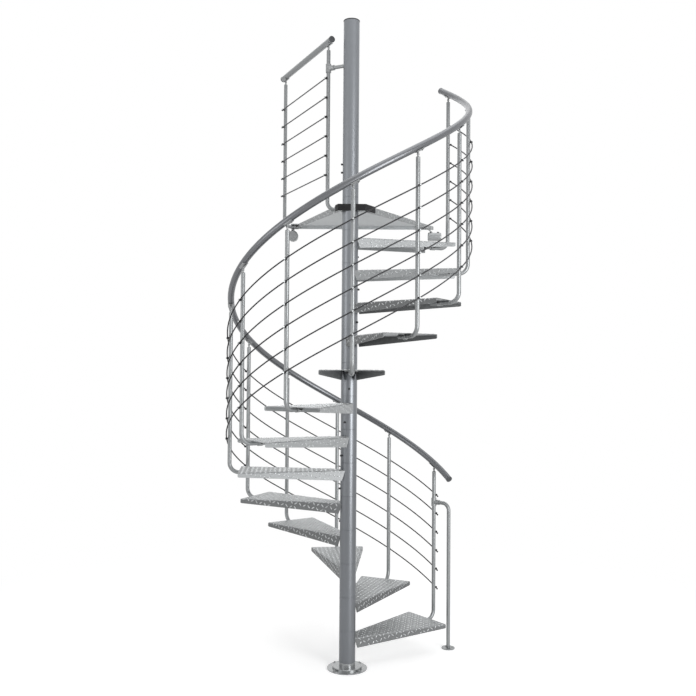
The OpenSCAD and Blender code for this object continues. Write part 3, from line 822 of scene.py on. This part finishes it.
class STAIR_OT_landing_tears(bpy.types.Operator):
    """Raises the tears on the landing's plate and side flanges"""

    bl_idname = "stair.landing_tears"
    bl_label = "Landing tears"

    def execute(self, context):
        layout = context.scene.stair_layout
        left_half, right_half = 0.0792, 0.1015
        left_angle, right_angle = (math.atan(slope) for slope in LANDING_SLOPES)
        raise_tears("landing_tears", context.scene, {
            "Reach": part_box("landing")[1].y, "Left Half": left_half, "Left Angle": left_angle,
            "Right Half": right_half, "Right Angle": right_angle,
            "Fold": 0.0012, "Deep": 0.046, "Shallow": 0.024, "Rake": 0.0, "Round": 0.01,
            "Gap Near": 0.068, "Gap Near Half": 0.026,
            "Gap Far": 0.725, "Gap Far Half": 0.052,
            "Copies": 1, "First Turn": math.pi / 2, "First Top": plate_top(layout, "landing")})
        return {"FINISHED"}


class STAIR_OT_landing_band(bpy.types.Operator):
    """Wraps a black band round the landing's front flange, beside the column: painted shade, a dark
    sheet standing in for the shade on that flange
    """

    bl_idname = "stair.landing_band"
    bl_label = "Landing band"

    def execute(self, context):
        layout = context.scene.stair_layout
        thick, height, drop = 0.003, 0.042, 0.002
        left, right, back, left_share = -0.075, 0.095, 0.045, 0.45
        left_slope, right_slope = LANDING_SLOPES
        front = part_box("landing")[0].y
        out = thick / 2
        z = plate_top(layout, "landing") - drop - height / 2
        run = back - front
        left_run = run * left_share
        corners = ((left - left_slope * left_run - out, front + left_run),
                   (left - out, front - out), (right + out, front - out),
                   (right + right_slope * run + out, back))
        points = [((x, y, z), (0, 0, 1)) for x, y in corners]
        # Painted shade: a dark band where the front flange lies in shade
        make_piece("landing_band", "black_plastic", band_tree(), {
            "Corner": 0.008, "Thick": thick, "Height": height},
            points, [(0, 1), (1, 2), (2, 3)])
        return {"FINISHED"}


class STAIR_OT_handrail(bpy.types.Operator):
    """Sweeps the smooth handrail along the stair's helix"""

    bl_idname = "stair.handrail"
    bl_label = "Handrail"

    def execute(self, context):
        layout, rails = context.scene.stair_layout, context.scene.stair_rails
        climb = layout.rise / layout.turn
        total = layout.turn * (layout.treads - 1) + rails.lead + rails.tail
        rail = make_piece("handrail_tube", "rail_steel", helix_tree(), {
            "Radius": layout.post_circle, "Bar Radius": rails.rail_r, "Sides": 32,
            "Steps": 150, "Sweep": total, "Climb": climb * total,
            "Start Turn": layout.first_turn - rails.lead,
            "Start Height": top_of("baluster_01") + rails.rail_over - climb * rails.lead})
        shade_round(rail)
        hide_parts("handrail")
        return {"FINISHED"}


class STAIR_OT_infill_rods(bpy.types.Operator):
    """Sweeps the infill rods along the stair's helix"""

    bl_idname = "stair.infill_rods"
    bl_label = "Infill rods"

    def execute(self, context):
        layout, rails = context.scene.stair_layout, context.scene.stair_rails
        climb = layout.rise / layout.turn
        radius = layout.post_circle + rails.rod_out
        past = rails.rod_past / radius
        total = layout.turn * (layout.treads - 1) + 2 * past
        rods = make_piece("infill_rod_set", "drawn_rod", helix_tree(), {
            "Radius": radius, "Bar Radius": rails.rod_r, "Sides": 10, "Steps": 120,
            "Sweep": total, "Climb": climb * total, "Start Turn": layout.first_turn - past,
            "Start Height": plate_top(layout) + rails.rod_low - climb * past,
            "Bars": rails.rods, "Spacing": rails.rod_spacing})
        shade_round(rods)
        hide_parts("infill_rods")
        return {"FINISHED"}


def shade_round(piece):
    """Smooth sides, with the edges of the end faces kept sharp."""
    piece.data.shade_smooth()
    piece.data.set_sharp_from_angle(angle=math.radians(40))


class STAIR_OT_welds(bpy.types.Operator):
    """Lays the weld beads between the sleeves and the plates"""

    bl_idname = "stair.welds"
    bl_label = "Welds"

    def execute(self, context):
        layout, fixings = context.scene.stair_layout, context.scene.stair_fixings
        tree = weld_tree()
        size = {"Radius": layout.column_r, "Bead": fixings.bead_r, "Plate": layout.plate_t}
        treads = make_piece("tread_welds", "weld_bead", tree, {
            **size, "Start Angle": math.radians(-52), "Arc": math.radians(104),
            "Ripples": 26, "Steps": 80, **stair_values(layout, plate_top(layout))})
        landing = make_piece("landing_welds", "weld_bead", tree, {
            **size, "Start Angle": math.radians(-8), "Arc": math.radians(196),
            "Ripples": 50, "Steps": 150, "First Top": plate_top(layout, "landing")})
        for beads in (treads, landing):
            beads.data.shade_smooth()
        return {"FINISHED"}


def turned(layout, number, direction):
    """A direction given on a tread that points outwards along +X."""
    return Matrix.Rotation(layout.first_turn + layout.turn * number, 4, "Z") @ Vector(direction)


def on_tread(layout, number, out, across, height):
    """A place on a tread, from its distance out and across, and its height."""
    lift = Vector((0, 0, height + layout.rise * number))
    return turned(layout, number, (out, across, 0)) + lift


class STAIR_OT_clamp_bolts(bpy.types.Operator):
    """Puts two bolts in each foot clamp, with their heads below"""

    bl_idname = "stair.clamp_bolts"
    bl_label = "Clamp bolts"

    def execute(self, context):
        layout, fixings = context.scene.stair_layout, context.scene.stair_fixings
        strap, guard_foot = 0.004, 0.088
        low = -layout.plate_t - strap
        half = fixings.clamp_bolt_gap / 2
        tread_low = plate_top(layout) + low
        landing_low = plate_top(layout, "landing") + low
        points = [(on_tread(layout, n, TREAD_REACH - fixings.clamp_in, side * half, tread_low),
                   (0, 0, -1)) for n in range(layout.treads) for side in (-1, 1)]
        points += [((x + guard_foot, y + side * half, landing_low), (0, 0, -1))
                   for x, y in guard_feet() for side in (-1, 1)]
        bolt_r = fixings.clamp_bolt_r
        put_fixings("clamp_bolts", "blackened_steel", points,
                    washer=(bolt_r * 1.15, 0.0015), head=(bolt_r, 0.0065), sides=6,
                    chamfer=0.0008, tip=(0.0045, 0.004))
        return {"FINISHED"}


def guard_feet():
    """Where the two posts of the landing's guard stand."""
    low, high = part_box("guard_posts")
    post_r, near_in, near_y = 0.0125, 0.325, 0.068
    return [(low.x + post_r + near_in, near_y), (low.x + post_r, high.y - post_r)]


def guard_line():
    """The guard's two posts on the floor plan, and the direction from near to far."""
    near, far = (Vector((x, y, 0)) for x, y in guard_feet())
    return near, far, (far - near).normalized()


class STAIR_OT_column_screws(bpy.types.Operator):
    """Puts the screws that lock the sleeves to the pole"""

    bl_idname = "stair.column_screws"
    bl_label = "Column screws"

    def execute(self, context):
        layout, fixings = context.scene.stair_layout, context.scene.stair_fixings
        height = plate_top(layout) - fixings.column_screw_drop
        screw_r, sunk, top_heights = fixings.column_screw_r, 0.0005, (3.102, 3.154)
        place = layout.column_r - sunk
        points = [(on_tread(layout, n, place, 0, height), turned(layout, n, (1, 0, 0)))
                  for n in range(layout.treads)]
        points += [((-place, 0, z), (-1, 0, 0)) for z in top_heights]
        put_fixings("column_screws", "blackened_steel", points,
                    washer=(screw_r * 1.1, 0.001), head=(screw_r, 0.009), sides=12,
                    chamfer=0.001, tip=(0.003, 0.0004))
        return {"FINISHED"}


class STAIR_OT_rod_nuts(bpy.types.Operator):
    """Puts a nut on each rod clip"""

    bl_idname = "stair.rod_nuts"
    bl_label = "Rod nuts"

    def execute(self, context):
        layout, rails = context.scene.stair_layout, context.scene.stair_rails
        nut_r, clip_cap = context.scene.stair_fixings.rod_nut_r, 0.0025
        end = rails.rod_out + rails.rod_r + clip_cap
        low = plate_top(layout) + rails.rod_low
        points = [(on_tread(layout, n, layout.post_circle + end, 0,
                            low + rails.rod_spacing * k), turned(layout, n, (1, 0, 0)))
                  for n in range(layout.treads) for k in range(rails.rods)]
        near, far, run = guard_line()
        outward = Vector((-run.y, run.x, 0))
        low = plate_top(layout, "landing") + rails.guard_rod_low
        points += [(post + outward * end + Vector((0, 0, low + rails.rod_spacing * k)), outward)
                   for post in (near, far) for k in range(rails.rods)]
        put_fixings("rod_nuts", "bright_nut", points,
                    washer=(nut_r, 0.0006), head=(nut_r, 0.0024), sides=6,
                    chamfer=0.0008, tip=(0.002, 0.0006))
        return {"FINISHED"}


class STAIR_OT_saddle_screws(bpy.types.Operator):
    """Puts two screws under each handrail saddle"""

    bl_idname = "stair.saddle_screws"
    bl_label = "Saddle screws"

    def execute(self, context):
        layout, rails = context.scene.stair_layout, context.scene.stair_rails
        slope = math.atan(layout.rise / (layout.post_circle * layout.turn))
        along = Vector((0, math.cos(slope), math.sin(slope)))
        down = Vector((0, math.sin(slope), -math.cos(slope)))
        apart, saddle_t = 0.018, 0.0045
        under = rails.rail_r + saddle_t
        axis = top_of("baluster_01") + rails.rail_over
        points = []
        for n in range(layout.treads):
            for side in (-1, 1):
                place = along * apart * side + down * under
                points.append((on_tread(layout, n, layout.post_circle, place.y,
                                        axis + place.z), turned(layout, n, down)))
        near, far, run = guard_line()
        rail_z = top_of("guard_rail") - rails.rail_r
        points += [(post + run * apart * side + Vector((0, 0, rail_z - under)), (0, 0, -1))
                   for post in (near, far) for side in (-1, 1)]
        put_fixings("saddle_screws", "blackened_steel", points,
                    washer=(0.0045, 0.0004), head=(0.0042, 0.0016), sides=12,
                    chamfer=0.0009, tip=(0.0014, 0.0002))
        return {"FINISHED"}


class STAIR_OT_floor_fixings(bpy.types.Operator):
    """Puts the nuts on the base plate and the screws on the newel post's flange"""

    bl_idname = "stair.floor_fixings"
    bl_label = "Floor fixings"

    def execute(self, context):
        nut_r, edge = context.scene.stair_fixings.anchor_r, 0.016
        up = (0, 0, 1)
        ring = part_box("base_plate")[1].x - edge
        turns = [math.radians(45 + 90 * k) for k in range(4)]
        base_top = top_of("base_plate")
        points = [((ring * math.cos(a), ring * math.sin(a), base_top), up) for a in turns]
        put_fixings("anchor_nuts", "galvanised_fitting", points,
                    washer=(nut_r * 1.5, 0.0016), head=(nut_r, 0.004), sides=6,
                    chamfer=0.001, tip=(0.004, 0.003))
        low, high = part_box("newel_post")
        flange_r, flange_t, screw_ring = 0.044, 0.006, 0.02825
        centre = Vector((high.x - flange_r, low.y + flange_r, flange_t))
        points = [(centre + Vector((math.cos(a), math.sin(a), 0)) * screw_ring, up)
                  for a in (math.tau * k / 3 for k in range(3))]
        put_fixings("newel_screws", "galvanised_fitting", points,
                    washer=(0.0055, 0.0005), head=(0.0052, 0.0015), sides=14,
                    chamfer=0.001, tip=(0.0018, 0.0002))
        return {"FINISHED"}


class STAIR_OT_bracket_fixings(bpy.types.Operator):
    """Puts two screws in the side wall's fixing"""

    bl_idname = "stair.bracket_fixings"
    bl_label = "Bracket fixings"

    def execute(self, context):
        layout = context.scene.stair_layout
        axis_in, axis_drop, barrel_r = 0.030, 0.075, 0.0295
        middle_in, apart = 0.048, 0.026
        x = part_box("landing_brackets")[1].x - middle_in
        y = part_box("landing")[1].y - axis_in
        z = plate_top(layout, "landing") - layout.plate_t - axis_drop + barrel_r
        points = [((x + side * apart, y, z), (0, 0, 1)) for side in (-1, 1)]
        put_fixings("bracket_bolts", "blackened_steel", points,
                    washer=(0.0095, 0.0012), head=(0.0075, 0.004), sides=12,
                    chamfer=0.001, tip=(0.003, 0.0003))
        return {"FINISHED"}


def area_lamp(name, place, size, power):
    """A lamp of some width and height that looks at the middle of the stair."""
    light = bpy.data.lights.new(name, "AREA")
    light.shape = "RECTANGLE"
    light.size, light.size_y = size
    light.energy = power
    lamp = bpy.data.objects.new(name, light)
    bpy.context.scene.collection.objects.link(lamp)
    target = Vector((0, 0, CAD_BOX[1][2] * 0.5))
    lamp.location = place
    lamp.rotation_euler = (target - Vector(place)).to_track_quat("-Z", "Y").to_euler()


def seen_directly(graph):
    """1 for the camera, for mirror images and through glass, 0 for the light that is cast."""
    path = graph.node("ShaderNodeLightPath")
    return path["Is Camera Ray"].at_least(path["Is Glossy Ray"]).at_least(
        path["Is Transmission Ray"])


class STAIR_OT_studio(bpy.types.Operator):
    """Makes the floor, the white surroundings, the lamps and the camera"""

    bl_idname = "stair.studio"
    bl_label = "Studio"

    def execute(self, context):
        scene, studio = context.scene, context.scene.stair_studio
        scene.view_settings.view_transform = "Standard"

        scene.world = bpy.data.worlds.new("studio")
        graph = bare_graph(scene.world)
        strength = studio.air + seen_directly(graph) * (1 - studio.air)
        air = graph.node(
            "ShaderNodeBackground", values={"Color": (1, 1, 1, 1), "Strength": strength})
        graph.node("ShaderNodeOutputWorld", values={"Surface": air})

        size, drop = 60.0, 0.0005
        floor_mesh = bpy.data.meshes.new("floor")
        floor_mesh.from_pydata(
            [(-size, -size, 0), (size, -size, 0), (size, size, 0), (-size, size, 0)], [],
            [(0, 1, 2, 3)])
        floor = bpy.data.objects.new("floor", floor_mesh)
        floor.location.z = -drop
        scene.collection.objects.link(floor)
        material = bpy.data.materials.new("white_floor")
        graph = bare_graph(material)
        place = graph.node("ShaderNodeTexCoord", output="Object")
        away = graph.node("ShaderNodeVectorMath", {"operation": "LENGTH"}, [place],
                          output="Value")
        shadow_reach, fade, glow_share = 1.2, 2.4, 0.55
        far = ((away - shadow_reach) / fade).at_least(0).at_most(1)
        seen = seen_directly(graph)
        paint = graph.node("ShaderNodeBsdfDiffuse", values={"Color": (0.8, 0.8, 0.8, 1)})
        glow = graph.node("ShaderNodeEmission", values={"Strength": seen * glow_share})
        near = graph.node("ShaderNodeAddShader", values=[paint, glow])
        white = graph.node("ShaderNodeEmission", values={"Strength": 1.0})
        both = graph.node("ShaderNodeMixShader", values=[far * seen, near, white])
        graph.node("ShaderNodeOutputMaterial", values={"Surface": both})
        floor.data.materials.append(material)

        area_lamp("key", (3.4, -4.2, 2.1), (2.2, 4.1), studio.key)
        area_lamp("fill", (-4.2, -2.6, 2.4), (2.6, 2.6), studio.fill)
        area_lamp("back", (-0.8, 5.6, 5.2), (5.0, 5.0), studio.back)
        area_lamp("top", (0.3, -0.6, 7.4), (6.0, 6.0), studio.top)

        camera = bpy.data.objects.new("camera", bpy.data.cameras.new("camera"))
        camera.data.sensor_width = 36.0
        camera.data.lens = studio.lens
        scene.collection.objects.link(camera)
        camera.matrix_world = (
            Matrix.Translation((0, -studio.distance, studio.eye_height))
            @ Matrix.Rotation(studio.yaw, 4, "Z")
            @ Matrix.Rotation(math.pi / 2 + studio.pitch, 4, "X")
            @ Matrix.Rotation(studio.roll, 4, "Z"))
        scene.camera = camera
        return {"FINISHED"}


OPERATORS = (
    STAIR_OT_finishes, STAIR_OT_tread_tears, STAIR_OT_landing_tears, STAIR_OT_landing_band,
    STAIR_OT_handrail, STAIR_OT_infill_rods, STAIR_OT_welds, STAIR_OT_clamp_bolts,
    STAIR_OT_column_screws, STAIR_OT_rod_nuts, STAIR_OT_saddle_screws, STAIR_OT_floor_fixings,
    STAIR_OT_bracket_fixings, STAIR_OT_studio)


class STAIR_PT_panel(bpy.types.Panel):
    """Lists the steps that dress the stair, and their sizes and colours"""

    bl_idname = "STAIR_PT_panel"
    bl_label = "Stair"
    bl_space_type = "VIEW_3D"
    bl_region_type = "UI"
    bl_category = "Stair"

    def draw(self, context):
        for operator in OPERATORS:
            self.layout.operator(operator.bl_idname)
        for name, group in GROUPS.items():
            box = self.layout.box()
            for prop in group.__annotations__:
                box.prop(getattr(context.scene, name), prop)


def register():
    for group in GROUPS.values():
        bpy.utils.register_class(group)
    for name, group in GROUPS.items():
        setattr(bpy.types.Scene, name, PointerProperty(type=group))
    for operator in OPERATORS:
        bpy.utils.register_class(operator)
    bpy.utils.register_class(STAIR_PT_panel)


def unregister():
    bpy.utils.unregister_class(STAIR_PT_panel)
    for operator in reversed(OPERATORS):
        bpy.utils.unregister_class(operator)
    for name in GROUPS:
        delattr(bpy.types.Scene, name)
    for group in GROUPS.values():
        bpy.utils.unregister_class(group)


def main():
    register()
    for operator in OPERATORS:
        getattr(bpy.ops.stair, operator.bl_idname.split(".")[1])()


if __name__ == "__main__":
    main()
